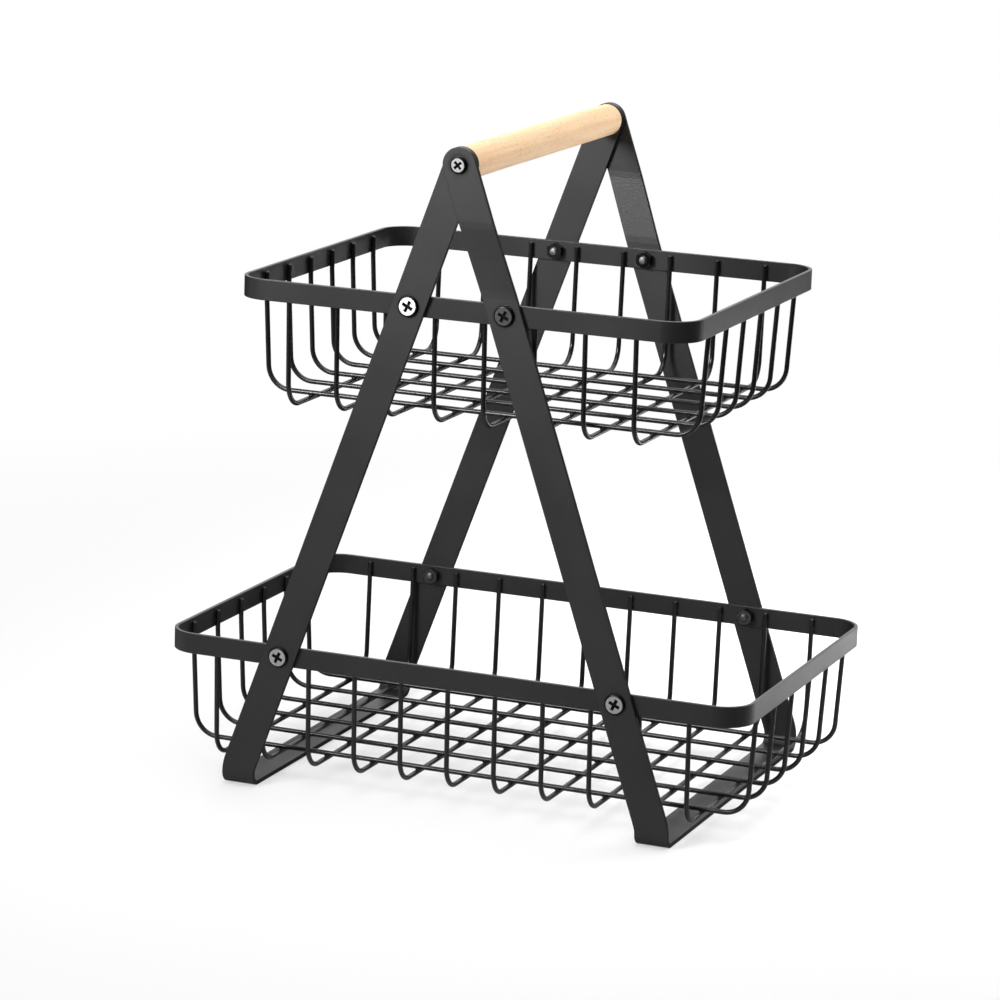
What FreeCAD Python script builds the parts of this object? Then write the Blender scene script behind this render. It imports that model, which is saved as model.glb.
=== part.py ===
import FreeCAD, Part
import math
import os

# A two-tier wire basket on an A-frame of two bent steel straps with a wooden carrying handle.
# All sizes are in millimetres. X runs along the baskets, Y from front to back, Z up from the floor.

vec = FreeCAD.Vector

# Baskets: the outer size of each rim, the room under the lower basket and the height between rims
UPPER_LENGTH = 310.0
LOWER_LENGTH = 400.0
BASKET_DEPTH = 254.0
FLOOR_GAP = 13.4
TIER_SPACING = 238.0
RIM_HEIGHT = 13.5
RIM_THICKNESS = 2.5
RIM_CORNER_RADIUS = 21.0

# Wires: cross wires run from front to back, and long wires lie on them from end to end.
# The inner cross wires stand between the two rim screws, and the outer ones beyond each screw.
# A screw share says how far from the inner wire to the outer one a screw stands, in pitches, and
# the end share is the room between the last cross wire and the rim's end.
WIRE_DIAMETER = 3.2
WIRE_DROP = 75.0
WIRE_BEND_RADIUS = 16.0
WIRE_EASE_RADIUS = 40.0
WIRE_END_BELOW_RIM_TOP = 3.0
WIRE_STRAIGHT_BELOW_RIM = 2.0
END_LEAN_DEG = 3.0
SIDE_LEAN_DEG = 2.0
WELD_SINK = 0.1
UPPER_INNER_COUNT = 2
UPPER_OUTER_COUNT = 3
UPPER_SCREW_SHARE = 0.46
LOWER_INNER_COUNT = 7
LOWER_OUTER_COUNT = 2
LOWER_SCREW_SHARE = 0.57
CROSS_END_SHARE = 1.12
LONG_COUNT = 6
UPPER_LONG_MARGIN = 42.0
LOWER_LONG_MARGIN = 37.0

# Strap frames: each is one flat bar bent to a front leg, a foot and a back leg
STRAP_WIDTH = 22.3
STRAP_THICKNESS = 3.0
HANDLE_RISE = 92.0
LOWER_SCREW_OFFSET = 116.0
FOOT_FOLD_RADIUS = 8.0
EDGE_BEND_RADIUS = 24.0
STEP_START_ABOVE_RIM = 6.0
STEP_BEND_RADIUS = 60.0
CROSSING_MARGIN = 3.0
BAR_EDGE_ROUND = 0.4

# Handle: a plain round dowel that turns on the two screws in its ends
HANDLE_DIAMETER = 21.0
HANDLE_EDGE_ROUND = 1.2
HANDLE_SCREW_DIAMETER = 5.0
HANDLE_SCREW_BITE = 28.0
HANDLE_HEAD_DIAMETER = 11.2
HANDLE_HEAD_HEIGHT = 1.9
HANDLE_HEAD_ROUND = 1.3
HANDLE_RECESS_TURN_DEG = 41.0
TURNING_GAP = 0.3
TURNING_FIT = 0.08

# Basket screws and nuts
SCREW_DIAMETER = 6.0
SCREW_LENGTH = 12.0
SCREW_HEAD_DIAMETER = 13.8
SCREW_HEAD_HEIGHT = 1.9
SCREW_HEAD_ROUND = 1.3
SCREW_TIP_CHAMFER = 0.7
SCREW_RECESS_TURN_DEG = 65.0
SCREW_HOLE_CLEARANCE = 0.2
NUT_ACROSS_FLATS = 10.0
NUT_THICKNESS = 5.0
NUT_CORNER_SLOPE_DEG = 30.0
NUT_TURN_DEG = 30.0
THREAD_GAP = 0.05

# Cross recess in a screw head, as shares of the head's diameter
RECESS_SPAN_SHARE = 0.5
RECESS_FLOOR_SHARE = 0.2
RECESS_WIDTH_SHARE = 0.13
RECESS_DEPTH_SHARE = 0.17

# What follows from the sizes above
HALF_DEPTH = BASKET_DEPTH / 2
WIRE_RADIUS = WIRE_DIAMETER / 2
LOWER_RIM_Z = FLOOR_GAP + WIRE_RADIUS + WIRE_DROP
UPPER_RIM_Z = LOWER_RIM_Z + TIER_SPACING
HANDLE_Z = UPPER_RIM_Z + HANDLE_RISE
LEAN_TANGENT = LOWER_SCREW_OFFSET / (HANDLE_Z - LOWER_RIM_Z)
LEAN = math.atan(LEAN_TANGENT)
SHARP_ANGLE_SINE = 0.5

pieces = {}


def leg_offset(z):
    """Distance of a leg's centreline from the middle of the frame at height z."""
    return (HANDLE_Z - z) * LEAN_TANGENT


def bent_path(points, radii):
    """Edges of straight runs through the points, with a tangent arc at each inner point."""
    edges = []
    start = points[0]
    for before, corner, after, radius in zip(points, points[1:], points[2:], radii):
        to_before = (before - corner).normalize()
        to_after = (after - corner).normalize()
        half_angle = to_before.getAngle(to_after) / 2
        reach = radius / math.tan(half_angle)
        inward = (to_before + to_after).normalize()
        arc_start = corner + to_before * reach
        arc_middle = corner + inward * (radius / math.sin(half_angle) - radius)
        arc_end = corner + to_after * reach
        edges.append(Part.LineSegment(start, arc_start).toShape())
        edges.append(Part.Arc(arc_start, arc_middle, arc_end).toShape())
        start = arc_end
    edges.append(Part.LineSegment(start, points[-1]).toShape())
    return edges


def closed_face(edges):
    """A flat face inside a ring of edges."""
    return Part.Face(Part.Wire(Part.sortEdges(edges)[0]))


def sharp_edges(solid):
    """Edges where two faces meet at an angle, leaving out the seams of smooth bends."""
    sharp = []
    for edge in solid.Edges:
        middle = edge.valueAt((edge.FirstParameter + edge.LastParameter) / 2)
        sides = solid.ancestorsOfType(edge, Part.Face)
        normals = [face.normalAt(*face.Surface.parameter(middle)) for face in sides]
        if normals[0].cross(normals[1]).Length > SHARP_ANGLE_SINE:
            sharp.append(edge)
    return sharp


def drill(diameter, x, z):
    """A cylinder along Y for a hole through the front and the back of the object."""
    return Part.makeCylinder(diameter / 2, 2 * BASKET_DEPTH, vec(x, -BASKET_DEPTH, z), vec(0, 1, 0))


# Strap frames. Both straps lie flat on the rims, and the outer one steps out over the inner one
# between the upper basket and the handle.


def frame_section(step):
    """The bent bar seen from the end: a U of even thickness, stepped outwards near the handle."""
    top = HANDLE_Z + STRAP_WIDTH
    step_start = UPPER_RIM_Z + RIM_HEIGHT / 2 + STEP_START_ABOVE_RIM
    straps_meet = STRAP_WIDTH / (2 * math.sin(LEAN))
    step_end = HANDLE_Z - straps_meet - CROSSING_MARGIN
    sides = []
    for inset, floor, fold in ((0, 0, FOOT_FOLD_RADIUS),
                               (STRAP_THICKNESS, STRAP_THICKNESS, FOOT_FOLD_RADIUS - STRAP_THICKNESS)):
        reach = HALF_DEPTH + STRAP_THICKNESS - inset
        half = [(reach, floor)]
        radii = [fold]
        if step:
            half += [(reach, step_start), (reach + step, step_end)]
            radii += [STEP_BEND_RADIUS, STEP_BEND_RADIUS]
        half.append((reach + step, top))
        points = [vec(0, -y, z) for y, z in reversed(half)] + [vec(0, y, z) for y, z in half]
        sides.append((points, bent_path(points, radii[::-1] + radii)))
    (outer_points, outer_edges), (inner_points, inner_edges) = sides
    caps = [Part.LineSegment(outer_points[end], inner_points[end]).toShape() for end in (0, -1)]
    return closed_face(outer_edges + inner_edges + caps)


def strap_outline(side):
    """The leaning strap seen from the front, turned upright in its own plane just above the foot."""
    half_width = STRAP_WIDTH / 2
    corner_z = FOOT_FOLD_RADIUS + EDGE_BEND_RADIUS * math.tan(LEAN / 2)
    top = vec(0, 0, HANDLE_Z)
    corner = vec(side * leg_offset(corner_z), 0, corner_z)
    bottom = vec(corner.x, 0, -STRAP_THICKNESS)
    along = (corner - top).normalize()
    across = vec(-along.z, 0, along.x) * side
    corner_across = (across + vec(side, 0, 0)) / (1 + across.dot(vec(side, 0, 0)))
    edges = []
    for edge_side in (-1, 1):
        offset = edge_side * half_width
        points = [top + across * offset, corner + corner_across * offset, bottom + vec(side * offset, 0, 0)]
        edges += bent_path(points, [EDGE_BEND_RADIUS + offset])
    end_round = Part.Arc(top - across * half_width, top - along * half_width, top + across * half_width)
    edges.append(end_round.toShape())
    foot_half = vec(half_width, 0, 0)
    edges.append(Part.LineSegment(bottom - foot_half, bottom + foot_half).toShape())
    return closed_face(edges)


def strap_frame(side, step):
    """One strap: the U section within the strap's front outline, edges eased and holes drilled."""
    section = frame_section(step)
    section.translate(vec(-LOWER_LENGTH, 0, 0))
    outline = strap_outline(side)
    outline.translate(vec(0, -BASKET_DEPTH, 0))
    bar = section.extrude(vec(2 * LOWER_LENGTH, 0, 0)).common(outline.extrude(vec(0, 2 * BASKET_DEPTH, 0)))
    bar = bar.Solids[0].makeFillet(BAR_EDGE_ROUND, sharp_edges(bar.Solids[0]))
    holes = [drill(HANDLE_SCREW_DIAMETER + 2 * TURNING_FIT, 0, HANDLE_Z)]
    for z in (UPPER_RIM_Z, LOWER_RIM_Z):
        holes.append(drill(SCREW_DIAMETER + 2 * SCREW_HOLE_CLEARANCE, side * leg_offset(z), z))
    return bar.cut(holes)


pieces["left_frame"] = strap_frame(-1, 0)
pieces["right_frame"] = strap_frame(1, STRAP_THICKNESS)


# Basket rims: a flat bar bent to a closed ring with round corners


def round_cornered_block(length, depth, height, radius, middle_z):
    block = Part.makeBox(length, depth, height, vec(-length / 2, -depth / 2, middle_z - height / 2))
    uprights = [edge for edge in block.Edges if edge.BoundBox.ZLength > height / 2]
    return block.makeFillet(radius, uprights)


def basket_rim(length, middle_z):
    inside = 2 * RIM_THICKNESS
    ring = round_cornered_block(length, BASKET_DEPTH, RIM_HEIGHT, RIM_CORNER_RADIUS, middle_z)
    ring = ring.cut(round_cornered_block(length - inside, BASKET_DEPTH - inside, RIM_HEIGHT + inside,
                                         RIM_CORNER_RADIUS - RIM_THICKNESS, middle_z))
    ring = ring.Solids[0].makeFillet(BAR_EDGE_ROUND, sharp_edges(ring.Solids[0]))
    hole = SCREW_DIAMETER + 2 * SCREW_HOLE_CLEARANCE
    return ring.cut([drill(hole, side * leg_offset(middle_z), middle_z) for side in (-1, 1)])


pieces["upper_rim"] = basket_rim(UPPER_LENGTH, UPPER_RIM_Z)
pieces["lower_rim"] = basket_rim(LOWER_LENGTH, LOWER_RIM_Z)


# Basket wires: each is a U whose ends stand against the rim's inner face, sunk into it by the weld


def u_wire(rim_span, drop, lean_deg, place):
    """A wire across rim_span; place turns a distance across and a height from the rim into a point."""
    reach = rim_span / 2 - RIM_THICKNESS - WIRE_RADIUS + WELD_SINK
    top = RIM_HEIGHT / 2 - WIRE_END_BELOW_RIM_TOP
    knee = -RIM_HEIGHT / 2 - WIRE_STRAIGHT_BELOW_RIM
    lean_in = (drop + knee) * math.tan(math.radians(lean_deg))
    half = [(reach - lean_in, -drop), (reach, knee), (reach, top)]
    points = [place(-s, z) for s, z in reversed(half)] + [place(s, z) for s, z in half]
    radii = [WIRE_EASE_RADIUS, WIRE_BEND_RADIUS, WIRE_BEND_RADIUS, WIRE_EASE_RADIUS]
    path = Part.Wire(bent_path(points, radii))
    ring = Part.Wire(Part.makeCircle(WIRE_RADIUS, points[0], points[1] - points[0]))
    return path.makePipeShell([ring], True, False)


def cross_places(length, screw_offset, inner_count, outer_count, screw_share):
    """Places of the cross wires: even steps between the rim screws, and even steps beyond them."""
    inner_pitch = 2 * screw_offset / (inner_count - 1 + 2 * screw_share)
    outer_pitch = (length / 2 - screw_offset) / (outer_count - screw_share + CROSS_END_SHARE)
    inner = [inner_pitch * (number - (inner_count - 1) / 2) for number in range(inner_count)]
    outer = [screw_offset + outer_pitch * (number + 1 - screw_share) for number in range(outer_count)]
    return sorted(inner + outer + [-x for x in outer])


def basket_wires(tier, length, rim_z, cross_counts, screw_share, long_margin):
    places = cross_places(length, leg_offset(rim_z), *cross_counts, screw_share)
    for number, x in enumerate(places, start=1):
        pieces[f"{tier}_cross_wire_{number}"] = u_wire(
            BASKET_DEPTH, WIRE_DROP, SIDE_LEAN_DEG, lambda s, z: vec(x, s, rim_z + z))
    long_drop = WIRE_DROP - WIRE_DIAMETER + WELD_SINK
    half_span = HALF_DEPTH - long_margin
    for number in range(1, LONG_COUNT + 1):
        y = half_span * (2 * (number - 1) / (LONG_COUNT - 1) - 1)
        pieces[f"{tier}_long_wire_{number}"] = u_wire(
            length, long_drop, END_LEAN_DEG, lambda s, z: vec(s, y, rim_z + z))


basket_wires("upper", UPPER_LENGTH, UPPER_RIM_Z, (UPPER_INNER_COUNT, UPPER_OUTER_COUNT), UPPER_SCREW_SHARE,
             UPPER_LONG_MARGIN)
basket_wires("lower", LOWER_LENGTH, LOWER_RIM_Z, (LOWER_INNER_COUNT, LOWER_OUTER_COUNT), LOWER_SCREW_SHARE,
             LOWER_LONG_MARGIN)


# Screws and nuts: made along Z with the seat of the head at the origin, then set in place


def pan_screw(diameter, length, head_diameter, head_height, head_round, turn_deg):
    """A flat-topped round head with a cross recess above the origin, and the shank below it."""
    radius = diameter / 2
    head_radius = head_diameter / 2
    side = head_height - head_round
    shoulder = head_radius - head_round
    round_middle = vec(shoulder + head_round * math.sin(math.pi / 4), 0,
                       side + head_round * math.cos(math.pi / 4))
    corners = [vec(shoulder, 0, head_height), vec(0, 0, head_height), vec(0, 0, -length),
               vec(radius - SCREW_TIP_CHAMFER, 0, -length), vec(radius, 0, SCREW_TIP_CHAMFER - length),
               vec(radius, 0, 0), vec(head_radius, 0, 0), vec(head_radius, 0, side)]
    edges = [Part.LineSegment(a, b).toShape() for a, b in zip(corners, corners[1:])]
    edges.append(Part.Arc(corners[-1], round_middle, corners[0]).toShape())
    screw = closed_face(edges).revolve(vec(0, 0, 0), vec(0, 0, 1), 360)
    screw = screw.cut(cross_recess(head_diameter, head_height))
    screw.rotate(vec(0, 0, 0), vec(0, 0, 1), turn_deg)
    return screw


def cross_recess(head_diameter, head_height):
    """Two crossed wings that narrow towards the floor of the recess."""
    span = head_diameter * RECESS_SPAN_SHARE / 2
    floor = head_diameter * RECESS_FLOOR_SHARE / 2
    width = head_diameter * RECESS_WIDTH_SHARE
    bottom = head_height - head_diameter * RECESS_DEPTH_SHARE
    corners = [vec(-span, -width / 2, head_height), vec(-floor, -width / 2, bottom),
               vec(floor, -width / 2, bottom), vec(span, -width / 2, head_height)]
    wing = Part.Face(Part.makePolygon(corners + corners[:1])).extrude(vec(0, width, 0))
    crossing = wing.copy()
    crossing.rotate(vec(0, 0, 0), vec(0, 0, 1), 90)
    return wing.fuse(crossing)


def hex_nut():
    """A hexagon nut on the origin, bored for the screw, with its corners turned off at both faces."""
    corner_radius = NUT_ACROSS_FLATS / math.sqrt(3)
    turns = [math.radians(60 * k + NUT_TURN_DEG) for k in range(7)]
    corners = [vec(corner_radius * math.cos(turn), corner_radius * math.sin(turn), 0) for turn in turns]
    prism = Part.Face(Part.makePolygon(corners)).extrude(vec(0, 0, NUT_THICKNESS))
    flat = NUT_ACROSS_FLATS / 2
    slope = (corner_radius - flat) * math.tan(math.radians(NUT_CORNER_SLOPE_DEG))
    turned = [vec(0, 0, 0), vec(flat, 0, 0), vec(corner_radius, 0, slope),
              vec(corner_radius, 0, NUT_THICKNESS - slope), vec(flat, 0, NUT_THICKNESS),
              vec(0, 0, NUT_THICKNESS)]
    turned = Part.Face(Part.makePolygon(turned + turned[:1])).revolve(vec(0, 0, 0), vec(0, 0, 1), 360)
    return prism.common(turned).cut(Part.makeCylinder(SCREW_DIAMETER / 2 + THREAD_GAP, NUT_THICKNESS))


def set_along_y(shape, x, y, z, outward):
    """Turns a piece made along Z to point along Y, outward being -1 for the front and 1 for the back."""
    placed = shape.copy()
    turned = FreeCAD.Placement(vec(x, y, z), FreeCAD.Rotation(vec(1, 0, 0), -90 * outward))
    placed.Placement = turned.multiply(placed.Placement)
    return placed


def basket_fasteners(tier, rim_z):
    strap_face = HALF_DEPTH + STRAP_THICKNESS
    rim_inside = HALF_DEPTH - RIM_THICKNESS
    screws = []
    nuts = []
    for outward in (-1, 1):
        for side in (-1, 1):
            x = side * leg_offset(rim_z)
            screw = pan_screw(SCREW_DIAMETER, SCREW_LENGTH, SCREW_HEAD_DIAMETER, SCREW_HEAD_HEIGHT,
                              SCREW_HEAD_ROUND, SCREW_RECESS_TURN_DEG)
            screws.append(set_along_y(screw, x, outward * strap_face, rim_z, outward))
            nuts.append(set_along_y(hex_nut(), x, outward * rim_inside, rim_z, -outward))
    pieces[f"{tier}_basket_screws"] = Part.makeCompound(screws)
    pieces[f"{tier}_basket_nuts"] = Part.makeCompound(nuts)


basket_fasteners("upper", UPPER_RIM_Z)
basket_fasteners("lower", LOWER_RIM_Z)


# Handle: a dowel between the two inner strap faces, with a screw through both straps into each end


def handle_dowel():
    half_length = HALF_DEPTH - TURNING_GAP
    front_end = vec(0, -half_length, HANDLE_Z)
    dowel = Part.makeCylinder(HANDLE_DIAMETER / 2, 2 * half_length, front_end, vec(0, 1, 0))
    ends = [edge for edge in dowel.Edges if edge.BoundBox.YLength < HANDLE_EDGE_ROUND]
    dowel = dowel.makeFillet(HANDLE_EDGE_ROUND, ends)
    pilot_depth = HANDLE_SCREW_BITE + SCREW_TIP_CHAMFER
    pilots = []
    for outward in (-1, 1):
        mouth = vec(0, outward * half_length, HANDLE_Z)
        pilots.append(Part.makeCylinder(HANDLE_SCREW_DIAMETER / 2 + THREAD_GAP, pilot_depth, mouth,
                                        vec(0, -outward, 0)))
    return dowel.cut(pilots)


def handle_screws():
    seat = HALF_DEPTH + 2 * STRAP_THICKNESS + TURNING_GAP
    length = seat - (HALF_DEPTH - TURNING_GAP) + HANDLE_SCREW_BITE
    screws = []
    for outward in (-1, 1):
        screw = pan_screw(HANDLE_SCREW_DIAMETER, length, HANDLE_HEAD_DIAMETER, HANDLE_HEAD_HEIGHT,
                          HANDLE_HEAD_ROUND, HANDLE_RECESS_TURN_DEG)
        screws.append(set_along_y(screw, 0, outward * seat, HANDLE_Z, outward))
    return Part.makeCompound(screws)


pieces["handle"] = handle_dowel()
pieces["handle_screws"] = handle_screws()

os.makedirs("parts", exist_ok=True)
for name, shape in pieces.items():
    shape.exportStep(f"parts/{name}.step")
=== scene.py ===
import math

import bmesh
import bpy
from mathutils import Matrix, Vector


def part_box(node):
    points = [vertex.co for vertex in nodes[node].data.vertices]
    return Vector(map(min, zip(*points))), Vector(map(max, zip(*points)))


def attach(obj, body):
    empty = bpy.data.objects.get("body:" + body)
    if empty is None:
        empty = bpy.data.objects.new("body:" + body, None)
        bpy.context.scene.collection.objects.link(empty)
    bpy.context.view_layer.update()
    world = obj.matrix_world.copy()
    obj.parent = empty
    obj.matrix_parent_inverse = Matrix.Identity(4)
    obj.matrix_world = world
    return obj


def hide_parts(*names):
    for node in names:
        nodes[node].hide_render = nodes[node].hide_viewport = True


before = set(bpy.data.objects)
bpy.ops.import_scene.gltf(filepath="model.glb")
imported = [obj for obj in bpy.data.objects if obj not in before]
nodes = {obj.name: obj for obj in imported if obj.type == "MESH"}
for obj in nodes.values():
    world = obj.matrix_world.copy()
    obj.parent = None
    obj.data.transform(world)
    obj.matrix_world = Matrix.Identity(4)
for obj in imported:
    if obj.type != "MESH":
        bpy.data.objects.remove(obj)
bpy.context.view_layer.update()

# Strap frames. Each is one flat steel bar, folded at both ends of its foot into a front and a back leg
# and drilled for the screws. Both wear the satin black powder coat that all the steel of the basket has.

STAND = "stand_and_baskets"
UPPER_RIM_Z, LOWER_RIM_Z, HANDLE_Z = 0.328, 0.090, 0.420
UPPER_SCREW_X, LOWER_SCREW_X = 0.03234, 0.116
RUBBED_RING = (0.0066, 0.0086)
# The sides of a bar that face the left or the right get painted shade: a copy of the coat that reflects
# almost nothing.
SHADED_SIDE_FACING = (0.45, 0.75)
COAT_SHINE, SHADED_SIDE_SHINE = 0.5, 0.06
GRAIN_PER_METRE, CLOUD_PER_METRE = 3600.0, 21.0
THIN_COAT, THICK_COAT = 0.68, 1.35


class Field:
    """A shader socket that takes Python arithmetic: each operation on it adds one Math node."""

    def __init__(self, tree, socket=None):
        self.tree = tree
        self.socket = socket

    def node(self, kind, settings=None, sockets=None, output=0):
        """Adds any node: its settings are set first, then the values or links of its sockets."""
        made = self.tree.nodes.new(kind)
        for name, value in (settings or {}).items():
            setattr(made, name, value)
        for name, value in (sockets or {}).items():
            if isinstance(value, Field):
                self.tree.links.new(value.socket, made.inputs[name])
            else:
                made.inputs[name].default_value = value
        return Field(self.tree, made.outputs[output])

    def math(self, operation, *values):
        return self.node("ShaderNodeMath", {"operation": operation}, dict(enumerate(values)))

    def __add__(self, other):
        return self.math("ADD", self, other)

    def __sub__(self, other):
        return self.math("SUBTRACT", self, other)

    def __rsub__(self, other):
        return self.math("SUBTRACT", other, self)

    def __mul__(self, other):
        return self.math("MULTIPLY", self, other)

    __radd__ = __add__
    __rmul__ = __mul__

    def between(self, low, high):
        """0 at low, 1 at high, even in between and level beyond."""
        return self.node("ShaderNodeMapRange", None, {"Value": self, "From Min": low, "From Max": high})

    def blend(self, dark, light):
        """A colour from dark to light as this goes from 0 to 1."""
        return self.node("ShaderNodeMix", {"data_type": "RGBA"}, {0: self, 6: dark, 7: light}, output=2)

    def noise(self, per_metre, detail):
        return self.node("ShaderNodeTexNoise", None, {"Vector": self, "Scale": per_metre, "Detail": detail})


def new_finish(name):
    """A material with the place on the piece, in metres, and its main shader's sockets."""
    material = bpy.data.materials.new(name)
    material.use_nodes = True
    tree = material.node_tree
    shader = tree.nodes["Principled BSDF"]
    place = Field(tree).node("ShaderNodeTexCoord", output="Object")
    return material, place, shader.inputs


def wire_up(sockets, **links):
    for name, value in links.items():
        value.tree.links.new(value.socket, sockets[name.replace("_", " ")])


def screw_ring(place):
    """1 on the narrow ring round each screw head that the driver and the head have rubbed smooth."""
    x, z = (place.node("ShaderNodeSeparateXYZ", None, {"Vector": place}, output=axis) for axis in "XZ")
    x = x.math("ABSOLUTE", x)
    away = None
    for screw_x, screw_z in ((UPPER_SCREW_X, UPPER_RIM_Z), (LOWER_SCREW_X, LOWER_RIM_Z), (0.0, HANDLE_Z)):
        across, rise = x - screw_x, z - screw_z
        distance = across.math("SQRT", across * across + rise * rise)
        away = away.math("MINIMUM", away, distance) if away else distance
    return 1 - away.between(*RUBBED_RING)


def shade_facing_sides(place, shader, links):
    """Painted shade on a bar's sides that face the left or the right: a copy of the coat with almost no
    reflection.
    """
    facing = place.node("ShaderNodeTexCoord", output="Normal")
    sideways = place.node("ShaderNodeSeparateXYZ", None, {"Vector": facing}, output="X")
    edge = sideways.math("ABSOLUTE", sideways).between(*SHADED_SIDE_FACING)
    # painted shade: the sides get a copy of the coat that reflects almost nothing, so they look dark
    shaded_copy = place.node("ShaderNodeBsdfPrincipled", None, {**links, "Specular IOR Level": SHADED_SIDE_SHINE})
    coat = Field(place.tree, shader["Base Color"].node.outputs["BSDF"])
    both = place.node("ShaderNodeMixShader", None, {0: edge, 1: coat, 2: shaded_copy})
    place.tree.links.new(both.socket, place.tree.nodes["Material Output"].inputs["Surface"])


def powder_coat(name, colour, gloss, peel_per_metre, peel_height, rubbed=None):
    """Satin powder coat: baked powder that flowed into a faint orange peel with a fine grain on it.

    With rubbed, which says where screws have rubbed it smooth, it is a bar's coat, with painted shade on its
    sides that face the left or the right.
    """
    material, place, shader = new_finish(name)
    peel = place.noise(peel_per_metre, 2.0)
    grain = place.noise(GRAIN_PER_METRE, 1.0)
    cloud = place.noise(CLOUD_PER_METRE, 3.0)
    tone = 0.45 * cloud + 0.35 * grain + 0.2 * peel
    thin, thick = ([c * share for c in colour] + [1.0] for share in (THIN_COAT, THICK_COAT))
    rough = gloss + 0.12 * (cloud - 0.5) + 0.14 * (grain - 0.5)
    if rubbed:
        rough = rough - 0.1 * rubbed(place)
    relief = place.node("ShaderNodeBump", None,
                        {"Strength": 0.5, "Distance": peel_height, "Height": peel + 0.3 * grain})
    shade = tone.between(0.3, 0.7).blend(thin, thick)
    wire_up(shader, Base_Color=shade, Roughness=rough, Normal=relief)
    shader["Specular IOR Level"].default_value = COAT_SHINE
    if rubbed:
        shade_facing_sides(place, shader, {"Base Color": shade, "Roughness": rough, "Normal": relief})
    return material


strap_coat = powder_coat("strap powder coat", (0.012, 0.012, 0.0125), 0.4, 900.0, 0.00011, screw_ring)
for name in ("left_frame", "right_frame"):
    nodes[name].material_slots[0].material = strap_coat

# Basket rims. Each is a flat steel bar on edge, bent round to a closed ring with rounded corners
# and coated together with its wires.

rim_coat = powder_coat("rim powder coat", (0.011, 0.011, 0.0115), 0.36, 950.0, 0.0001)
for name in ("upper_rim", "lower_rim"):
    nodes[name].material_slots[0].material = rim_coat

# Basket wires. Each is one drawn steel wire bent to a U and resistance welded to the inner face of the
# rim. The long wires lie on the cross wires and are welded to them. The coat is glossier on the thin wire,
# and its colour is painted darker than the straps' coat, painted shade.

# painted shade: the wires' coat colour is darker than the straps' and the rims'
wire_coat = powder_coat("wire powder coat", (0.005, 0.005, 0.0052), 0.26, 1200.0, 0.00005)
for name, node in nodes.items():
    if "_wire_" in name:
        node.material_slots[0].material = wire_coat

# Wire welds. Where two wires cross, and where a wire stands against the rim, the weld has pressed out a
# small bead, and the coat rounds off the cut ends of the wires. They are part of the coated baskets.

WIRE_RADIUS = 0.0016
CROSSING_BEAD = (0.0022, 0.0022, 0.0008)
RIM_BEAD = (0.0022, 0.0007, 0.0044)
END_RIM_BEAD = (0.0007, 0.0022, 0.0044)
RIM_BEAD_SINK, RIM_BEAD_DROP = 0.0001, 0.0012
END_DOME = (0.00159, 0.00159, 0.0007)
BEAD_SEGMENTS, BEAD_RINGS = 10, 6


def wire_middle(node):
    """The middle of a wire's box, with the box's low and high corners."""
    low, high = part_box(node)
    return [(a + b) / 2 for a, b in zip(low, high)], low, high


def add_bead(group, place, radii):
    shape = Matrix.Translation(place) @ Matrix.Diagonal((*radii, 1.0))
    bmesh.ops.create_uvsphere(group, u_segments=BEAD_SEGMENTS, v_segments=BEAD_RINGS, radius=1.0,
                              matrix=shape)


def finish_mesh(group, name, materials, sharp_deg=None):
    """Puts a finished bmesh into the scene as one piece."""
    mesh = bpy.data.meshes.new(name)
    group.to_mesh(mesh)
    group.free()
    for face in mesh.polygons:
        face.use_smooth = True
    if sharp_deg:
        mesh.set_sharp_from_angle(angle=math.radians(sharp_deg))
    for material in materials:
        mesh.materials.append(material)
    piece = bpy.data.objects.new(name, mesh)
    bpy.context.scene.collection.objects.link(piece)
    return piece


for tier, rim_z in (("upper", UPPER_RIM_Z), ("lower", LOWER_RIM_Z)):
    group = bmesh.new()
    cross = [name for name in nodes if name.startswith(tier + "_cross_wire_")]
    long = [name for name in nodes if name.startswith(tier + "_long_wire_")]
    for name in cross:
        middle, low, high = wire_middle(name)
        for other in long:
            other_middle, other_low, _ = wire_middle(other)
            add_bead(group, (middle[0], other_middle[1], other_low[2]), CROSSING_BEAD)
        for side, y in ((-1, low[1]), (1, high[1])):
            add_bead(group, (middle[0], y - side * RIM_BEAD_SINK, rim_z - RIM_BEAD_DROP), RIM_BEAD)
            add_bead(group, (middle[0], y - side * WIRE_RADIUS, high[2]), END_DOME)
    for name in long:
        middle, low, high = wire_middle(name)
        for side, x in ((-1, low[0]), (1, high[0])):
            add_bead(group, (x - side * RIM_BEAD_SINK, middle[1], rim_z - RIM_BEAD_DROP), END_RIM_BEAD)
            add_bead(group, (x - side * WIRE_RADIUS, middle[1], high[2]), END_DOME)
    welds = finish_mesh(group, f"{tier}_wire_welds", [wire_coat])
    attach(welds, STAND)

# Basket screws. Machine screws with wide, low heads go in from outside through strap and rim. They are
# plated black, and most flats are painted in a bright metal round the pressed cross recess, a painted
# highlight. The shanks are rolled threads. Some heads sit a little askew, and one flat is painted in a
# darker metal, painted shade.

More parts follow.
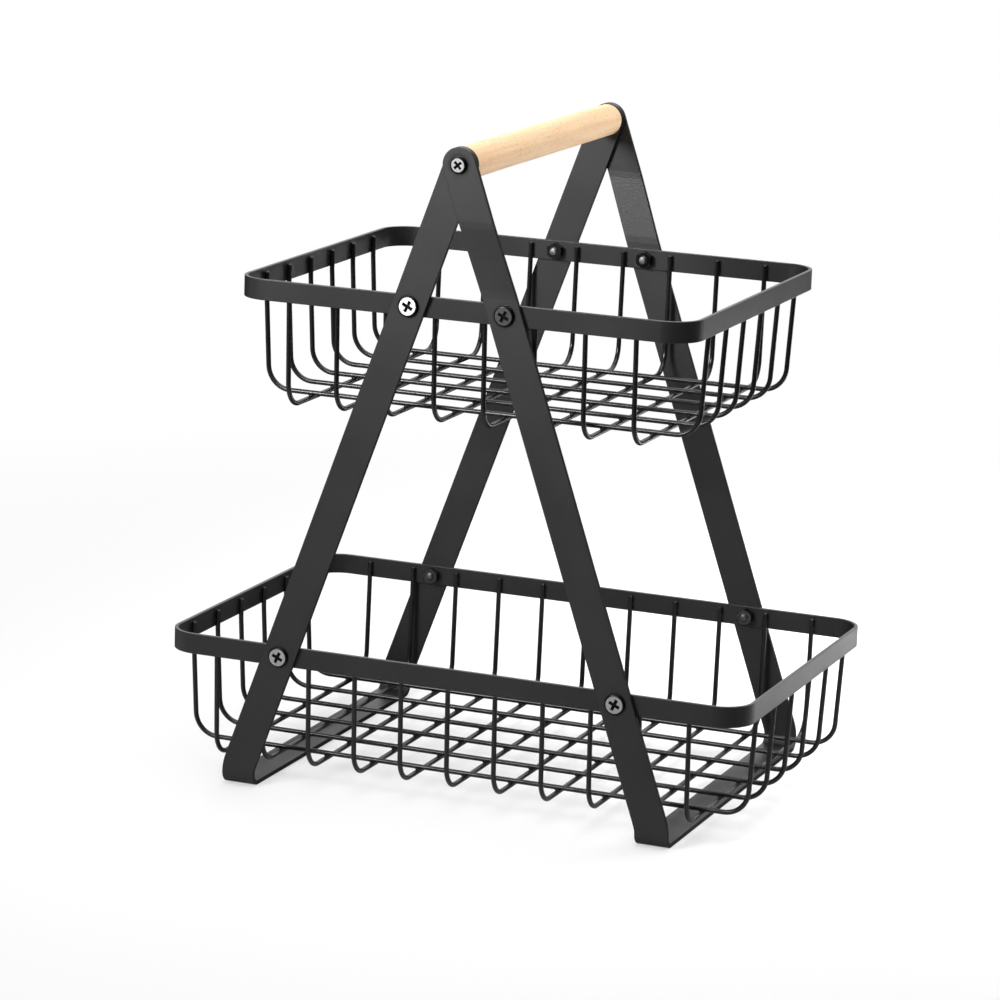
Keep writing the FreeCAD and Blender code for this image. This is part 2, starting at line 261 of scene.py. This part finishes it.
STRAP_FACE_Y = 0.130
SCREW_HEAD = {"radius": 0.0069, "height": 0.0019, "round": 0.0013}
SCREW_SHANK = {"radius": 0.0030, "length": 0.012, "pitch": 0.0010, "depth": 0.0006}
SCREW_TURN_DEG = 65.0
SCREW_LEAN_DEG = {("upper", -1, -1): -5.0, ("upper", -1, 1): 3.0, ("lower", -1, 1): 0.5}
RECESS_REACH, RECESS_HALF_WIDTH, RECESS_DEPTH, RECESS_TAPER = 0.55, 0.155, 0.8, 0.6
FLAT_BORDER = 0.06
HEAD_SEGMENTS, ROUND_SEGMENTS, THREAD_STEPS = 56, 6, 24
MERGE_DISTANCE, CUT_DISTANCE = 1e-6, 1e-7
SHARP_DEG = 35.0
HEAD_OVERLAP = 0.0002
TIP_SHARE, TIP_LENGTH = 0.78, 0.0008
MARKS_PER_METRE, PATCHES_PER_METRE = 2600.0, 260.0
# The one screw whose flat gets the darker metal, painted shade, instead of the painted highlight
SHADED_FLAT_SCREW = ("upper", -1, 1)
FLAT, SHOULDER, RECESS, THREAD, SHADED_FLAT = range(5)


def screw_head(bm, radius, height, round_off, turn_deg, lean_deg, flat_metal):
    """A low round head on the origin, its shoulder rounded and a tapered cross pressed into its flat top."""
    bmesh.ops.create_cone(bm, cap_ends=True, segments=HEAD_SEGMENTS, radius1=radius, radius2=radius,
                          depth=height, matrix=Matrix.Translation((0, 0, height / 2)))
    top = [e for e in bm.edges if all(v.co.z > height / 2 for v in e.verts)]
    bmesh.ops.bevel(bm, geom=top, offset=round_off, offset_type="OFFSET", segments=ROUND_SEGMENTS,
                    profile=0.5, affect="EDGES", material=-1)
    flat = max(bm.faces, key=lambda f: f.calc_center_median().z)
    bmesh.ops.inset_region(bm, faces=[flat], thickness=FLAT_BORDER * radius, use_even_offset=True)
    rim = flat.edges[:]
    bmesh.ops.delete(bm, geom=[flat], context="FACES_ONLY")
    reach, half_width = RECESS_REACH * radius, RECESS_HALF_WIDTH * radius
    sheet = bmesh.ops.create_grid(bm, x_segments=3, y_segments=3, size=1.0)["verts"]
    for vert in sheet:
        x, y = (math.copysign(reach if abs(c) > 0.5 else half_width, c) for c in vert.co.xy)
        vert.co = (x, y, height)
    squares = {face for vert in sheet for face in vert.link_faces}
    corners = [f for f in squares if min(abs(c) for c in f.calc_center_median().xy) > half_width]
    cross = [f for f in squares if f not in corners]
    bmesh.ops.delete(bm, geom=corners, context="FACES")
    lip = [e for e in {edge for face in cross for edge in face.edges} if e.is_boundary]
    sunk = bmesh.ops.extrude_face_region(bm, geom=cross)["geom"]
    bmesh.ops.delete(bm, geom=cross, context="FACES")
    floor = [v for v in sunk if isinstance(v, bmesh.types.BMVert)]
    bmesh.ops.scale(bm, verts=floor, vec=(RECESS_TAPER, RECESS_TAPER, 1.0))
    bmesh.ops.translate(bm, verts=floor, vec=(0, 0, -RECESS_DEPTH * height))
    bmesh.ops.triangle_fill(bm, edges=rim + lip, use_beauty=True, normal=(0, 0, 1))
    bmesh.ops.recalc_face_normals(bm, faces=bm.faces)
    for face in bm.faces:
        middle = face.calc_center_median()
        if middle.z > 0.99 * height and face.normal.z > 0.999:
            face.material_index = flat_metal
        else:
            face.material_index = RECESS if middle.xy.length < reach and middle.z > 0 else SHOULDER
    bmesh.ops.rotate(bm, verts=bm.verts, matrix=Matrix.Rotation(math.radians(turn_deg), 3, "Z"))
    lean = math.tan(math.radians(lean_deg))
    for vert in bm.verts:
        if vert.co.z > 0.1 * height:
            vert.co.z += lean * vert.co.y


def screw_shank(bm, radius, length, pitch, depth):
    """A threaded shank below the origin: one V of thread turned into a helix, cut square and pointed off."""
    turns = math.ceil(length / pitch) + 2
    foot = -length - pitch
    points = [(radius - depth, foot), (radius, foot + pitch / 2), (radius - depth, foot + pitch)]
    verts = [bm.verts.new((x, 0, z)) for x, z in points]
    edges = [bm.edges.new(pair) for pair in zip(verts, verts[1:])]
    bmesh.ops.spin(bm, geom=verts + edges, cent=(0, 0, 0), axis=(0, 0, 1),
                   dvec=(0, 0, pitch / THREAD_STEPS), angle=2 * math.pi * turns, steps=THREAD_STEPS * turns)
    bmesh.ops.remove_doubles(bm, verts=bm.verts, dist=MERGE_DISTANCE)
    for level, outward in ((-length, -1), (HEAD_OVERLAP, 1)):
        geom = bm.verts[:] + bm.edges[:] + bm.faces[:]
        bmesh.ops.bisect_plane(bm, geom=geom, dist=CUT_DISTANCE, plane_co=(0, 0, level),
                               plane_no=(0, 0, outward), clear_outer=True)
        rim = [e for e in bm.edges
               if e.is_boundary and all(abs(v.co.z - level) < MERGE_DISTANCE for v in e.verts)]
        bmesh.ops.edgenet_fill(bm, edges=rim)
    for vert in bm.verts:
        point = min(1.0, TIP_SHARE + (1 - TIP_SHARE) * (vert.co.z + length) / TIP_LENGTH)
        vert.co.x *= point
        vert.co.y *= point
    bmesh.ops.recalc_face_normals(bm, faces=bm.faces)
    for face in bm.faces:
        face.material_index = THREAD


def add_screw(group, place, outward, head, shank, turn_deg, lean_deg, flat_metal=FLAT):
    """One screw of a group, its head outwards: -1 is the front, 1 the back."""
    stand_up = Matrix.Translation(place) @ Matrix.Rotation(math.radians(-90 * outward), 4, "X")
    head_sizes = (*head.values(), turn_deg, lean_deg, flat_metal)
    for build, sizes in ((screw_head, head_sizes), (screw_shank, shank.values())):
        part = bmesh.new()
        build(part, *sizes)
        bmesh.ops.transform(part, matrix=stand_up, verts=part.verts)
        mesh = bpy.data.meshes.new("part of a screw")
        part.to_mesh(mesh)
        part.free()
        group.from_mesh(mesh)
        bpy.data.meshes.remove(mesh)


def plated_metal(name, dark, light, gloss, metal=1.0):
    """Plated steel with fine turning and handling marks."""
    material, place, shader = new_finish(name)
    marks = place.noise(MARKS_PER_METRE, 4.0)
    patches = place.noise(PATCHES_PER_METRE, 2.0)
    relief = place.node("ShaderNodeBump", None, {"Strength": 0.2, "Distance": 0.00004, "Height": marks})
    wire_up(shader, Base_Color=(0.6 * marks + 0.4 * patches).between(0.3, 0.7).blend(dark, light),
            Roughness=gloss + 0.2 * (marks - 0.5), Normal=relief)
    shader["Metallic"].default_value = metal
    shader["Specular IOR Level"].default_value = COAT_SHINE * metal
    return material


# The bright flat metal is a painted highlight, the darker flat metal a painted shade, and the near black
# recess painted shade.
screw_metals = [
    plated_metal("screw flat painted highlight", (0.42, 0.42, 0.43, 1.0), (0.66, 0.66, 0.67, 1.0), 0.42),
    plated_metal("black screw plating", (0.012, 0.012, 0.0125, 1.0), (0.03, 0.03, 0.031, 1.0), 0.3),
    plated_metal("unlit recess", (0.004, 0.004, 0.004, 1.0), (0.012, 0.012, 0.012, 1.0), 0.5, 0.0),
    plated_metal("rolled thread", (0.05, 0.05, 0.052, 1.0), (0.16, 0.16, 0.165, 1.0), 0.4),
    plated_metal("screw flat painted shade", (0.09, 0.09, 0.093, 1.0), (0.17, 0.17, 0.175, 1.0), 0.42),
]
for tier, screw_x, screw_z in (
        ("upper", UPPER_SCREW_X, UPPER_RIM_Z), ("lower", LOWER_SCREW_X, LOWER_RIM_Z)):
    group = bmesh.new()
    for outward in (-1, 1):
        for side in (-1, 1):
            which = (tier, outward, side)
            place = (side * screw_x, outward * STRAP_FACE_Y, screw_z)
            # one flat painted darker as shade, the others painted bright as a highlight
            flat_metal = SHADED_FLAT if which == SHADED_FLAT_SCREW else FLAT
            add_screw(group, place, outward, SCREW_HEAD, SCREW_SHANK, SCREW_TURN_DEG,
                      SCREW_LEAN_DEG.get(which, 0.0), flat_metal)
    screws = finish_mesh(group, f"{tier}_screws", screw_metals, sharp_deg=SHARP_DEG)
    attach(screws, STAND)
    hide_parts(f"{tier}_basket_screws")

# Basket nuts. Plain hexagon nuts, plated dark, hold the screws inside the rims. The plating is glossy, so
# that the faces stay dark and only what turns to a lamp lights up.

nut_plating = plated_metal("nut plating", (0.055, 0.055, 0.057, 1.0), (0.12, 0.12, 0.125, 1.0), 0.12)
for name in ("upper_basket_nuts", "lower_basket_nuts"):
    nodes[name].material_slots[0].material = nut_plating

# Handle. A turned and sanded beech dowel, left bare, with the grain along it and the short dark flecks
# that beech shows where its rays are cut across.

BEECH_DARK, BEECH_PALE = (0.84, 0.515, 0.275, 1.0), (0.98, 0.725, 0.465, 1.0)
BEECH_FLECK = (0.52, 0.28, 0.15, 1.0)
STREAKS_PER_METRE, BANDS_PER_METRE, FLECKS_PER_METRE = 420.0, 95.0, 1500.0
GRAIN_SQUEEZE, FLECK_SQUEEZE = (1.0, 0.045, 1.0), (1.0, 0.16, 1.0)
BARE_WOOD_SHINE = 0.25


def beech(name):
    """Bare beech: streaks and wider bands along the dowel, with short dark flecks."""
    material, place, shader = new_finish(name)
    along = place.node("ShaderNodeMapping", None, {"Vector": place, "Scale": GRAIN_SQUEEZE})
    streak = along.noise(STREAKS_PER_METRE, 3.0)
    band = along.noise(BANDS_PER_METRE, 2.0)
    dashes = place.node("ShaderNodeMapping", None, {"Vector": place, "Scale": FLECK_SQUEEZE})
    fleck = dashes.noise(FLECKS_PER_METRE, 1.0).between(0.61, 0.72)
    tone = (0.55 * streak + 0.45 * band).between(0.28, 0.72)
    plain = tone.blend(BEECH_DARK, BEECH_PALE)
    flecked = (0.5 * fleck).blend(plain, BEECH_FLECK)
    relief = place.node("ShaderNodeBump", None,
                        {"Strength": 0.3, "Distance": 0.00008, "Height": streak - fleck})
    wire_up(shader, Base_Color=flecked, Roughness=0.55 + 0.15 * (streak - 0.5), Normal=relief)
    shader["Specular IOR Level"].default_value = BARE_WOOD_SHINE
    return material


nodes["handle"].material_slots[0].material = beech("bare beech")

# Handle screws. One goes through both straps into each end of the dowel, and the dowel turns on them.
# They are plated as the basket screws are, with a coarser thread for the wood, and their flats carry the
# same painted highlight.

HANDLE_SEAT_Y = 0.1333
HANDLE_HEAD = {"radius": 0.0056, "height": 0.0019, "round": 0.0013}
HANDLE_SHANK = {"radius": 0.0025, "length": 0.0346, "pitch": 0.0018, "depth": 0.0008}
HANDLE_TURN_DEG, HANDLE_LEAN_DEG = 41.0, 3.5
group = bmesh.new()
for outward in (-1, 1):
    add_screw(group, (0.0, outward * HANDLE_SEAT_Y, HANDLE_Z), outward, HANDLE_HEAD, HANDLE_SHANK,
              HANDLE_TURN_DEG, HANDLE_LEAN_DEG)
screws = finish_mesh(group, "dowel_screws", screw_metals, sharp_deg=SHARP_DEG)
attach(screws, "grip")
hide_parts("handle_screws")

# Floor. A plain white sweep that keeps the basket's shadow near the feet and runs out to even white.
# In reflections it is dimmer, and unlit to the right of the front and behind on the left.

FLOOR_RADIUS, FLOOR_SEGMENTS, FLOOR_WHITE = 9.0, 96, 0.93
GLOW_NEAR, GLOW_REACH = 0.45, (0.45, 1.1)
DIM_IN_REFLECTION, DIM_WHERE_UNLIT = 0.46, 0.5
FRONT_RIGHT_SLANT, FRONT_RIGHT_FADE = 0.6, (0.15, 0.75)
BEHIND_SIDE_FADE, BEHIND_DEPTH_FADE = (0.1, 0.3), (-0.1, 0.1)
WHITE = (1.0, 1.0, 1.0, 1.0)
mesh = bpy.data.meshes.new("floor")
bm = bmesh.new()
bmesh.ops.create_circle(bm, cap_ends=True, segments=FLOOR_SEGMENTS, radius=FLOOR_RADIUS)
bm.to_mesh(mesh)
bm.free()
floor = bpy.data.objects.new("floor", mesh)
bpy.context.scene.collection.objects.link(floor)
floor_paint = bpy.data.materials.new("white sweep")
floor_paint.use_nodes = True
tree = floor_paint.node_tree
tree.nodes.remove(tree.nodes["Principled BSDF"])
start = Field(tree)
spot = start.node("ShaderNodeTexCoord", output="Object")
away = spot.node("ShaderNodeVectorMath", {"operation": "LENGTH"}, {0: spot}, output=1)
paint = start.node("ShaderNodeBsdfDiffuse", None, {"Color": (FLOOR_WHITE, FLOOR_WHITE, FLOOR_WHITE, 1.0)})
glow = start.node("ShaderNodeEmission", None, {"Color": WHITE, "Strength": 1.0})
shade = start.node("ShaderNodeEmission", None, {"Color": WHITE, "Strength": 0.0})
camera_ray, glossy_ray, transmission_ray = (
    start.node("ShaderNodeLightPath", output=f"Is {kind} Ray")
    for kind in ("Camera", "Glossy", "Transmission"))
far = away.between(*GLOW_REACH)
glowing = (GLOW_NEAR + (1 - GLOW_NEAR) * far) * (camera_ray + transmission_ray)
seen = start.node("ShaderNodeMixShader", None, {0: glowing, 1: paint, 2: glow})
across, depth = (
    spot.node("ShaderNodeSeparateXYZ", None, {"Vector": spot}, output=axis) for axis in "XY")
front_right = (across - FRONT_RIGHT_SLANT * depth).between(*FRONT_RIGHT_FADE)
behind = (1 - across.between(*BEHIND_SIDE_FADE)) * depth.between(*BEHIND_DEPTH_FADE)
unlit = start.math("MAXIMUM", front_right, behind)
dim = DIM_IN_REFLECTION + DIM_WHERE_UNLIT * unlit
mirrored = start.node("ShaderNodeMixShader", None, {0: dim, 1: paint, 2: shade})
lit = start.node("ShaderNodeMixShader", None, {0: glossy_ray, 1: seen, 2: mirrored})
tree.links.new(lit.socket, tree.nodes["Material Output"].inputs["Surface"])
floor.data.materials.append(floor_paint)

# Studio. A large soft lamp overhead, a small one high in front on the left for the handle and the straps'
# tops, and one that lights the floor behind on the right. The room is even and pale, and in reflections
# dim but for the backdrop.

ROOM_LIGHT, ROOM_IN_REFLECTION, BACKDROP_IN_REFLECTION = 0.5, 0.12, 1.4
BACKDROP_DEPTH_FADE, BACKDROP_HEIGHT_FADE = (0.3, 0.85), (0.06, 0.2)
world = bpy.data.worlds.new("studio")
bpy.context.scene.world = world
world.use_nodes = True
tree = world.node_tree
start = Field(tree)
camera_ray, glossy_ray, transmission_ray = (
    start.node("ShaderNodeLightPath", output=f"Is {kind} Ray")
    for kind in ("Camera", "Glossy", "Transmission"))
seen = camera_ray + transmission_ray
look = start.node("ShaderNodeTexCoord", output="Generated")
depth, height = (look.node("ShaderNodeSeparateXYZ", None, {"Vector": look}, output=axis) for axis in "YZ")
behind = depth.between(*BACKDROP_DEPTH_FADE) * height.between(*BACKDROP_HEIGHT_FADE)
mirrored = ROOM_IN_REFLECTION + BACKDROP_IN_REFLECTION * behind
strength = seen + mirrored * glossy_ray + ROOM_LIGHT * (1 - seen) * (1 - glossy_ray)
background = tree.nodes["Background"]
background.inputs["Color"].default_value = WHITE
tree.links.new(strength.socket, background.inputs["Strength"])


def soft_lamp(name, place, aim, width, height, watts, spread_deg=180.0):
    """A rectangular lamp that faces the point it is aimed at."""
    lamp = bpy.data.lights.new(name, "AREA")
    lamp.shape = "RECTANGLE"
    lamp.size = width
    lamp.size_y = height
    lamp.energy = watts
    lamp.spread = math.radians(spread_deg)
    holder = bpy.data.objects.new(name, lamp)
    holder.location = place
    holder.rotation_mode = "QUATERNION"
    holder.rotation_quaternion = (Vector(aim) - Vector(place)).to_track_quat("-Z", "Y")
    bpy.context.scene.collection.objects.link(holder)


soft_lamp("overhead lamp", (0.1, 0.1, 1.9), (0, 0, 0.2), 1.6, 1.6, 24.0)
soft_lamp("front left lamp", (-0.55, -1.1, 0.8), (-0.05, -0.1, 0.44), 0.45, 0.45, 2.0, 50.0)
soft_lamp("floor lamp", (0.55, 0.9, 1.4), (0.5, 0.75, 0), 0.4, 0.4, 12.0, 60.0)

# Camera. It stands to the right of the front, a little above the handle, with a long lens. Its place, roll
# and focal length were fitted to the photograph.

AZIMUTH, ELEVATION, ROLL = (math.radians(d) for d in (21.65, 12.72, 2.03))
DISTANCE, SIDE_SHIFT, AIM_HEIGHT, FOCAL_PIXELS = 2.727, -0.0165, 0.182, 4141.0
SENSOR_WIDTH, PICTURE_PIXELS, CLIP_END = 36.0, 1000.0, 60.0
back = Vector((math.sin(AZIMUTH) * math.cos(ELEVATION), -math.cos(AZIMUTH) * math.cos(ELEVATION),
               math.sin(ELEVATION)))
right = Vector((math.cos(AZIMUTH), math.sin(AZIMUTH), 0.0))
up = back.cross(right)
tilted_right = right * math.cos(ROLL) + up * math.sin(ROLL)
tilted_up = up * math.cos(ROLL) - right * math.sin(ROLL)
aim = Vector((0.0, 0.0, AIM_HEIGHT)) + tilted_right * SIDE_SHIFT
lens = bpy.data.cameras.new("camera")
lens.sensor_width = SENSOR_WIDTH
lens.lens = SENSOR_WIDTH * FOCAL_PIXELS / PICTURE_PIXELS
lens.clip_end = CLIP_END
camera = bpy.data.objects.new("camera", lens)
camera.matrix_world = Matrix.Translation(aim + back * DISTANCE) @ Matrix(
    (tilted_right, tilted_up, back)).transposed().to_4x4()
bpy.context.scene.collection.objects.link(camera)
bpy.context.scene.camera = camera
bpy.context.scene.view_settings.view_transform = "Standard"
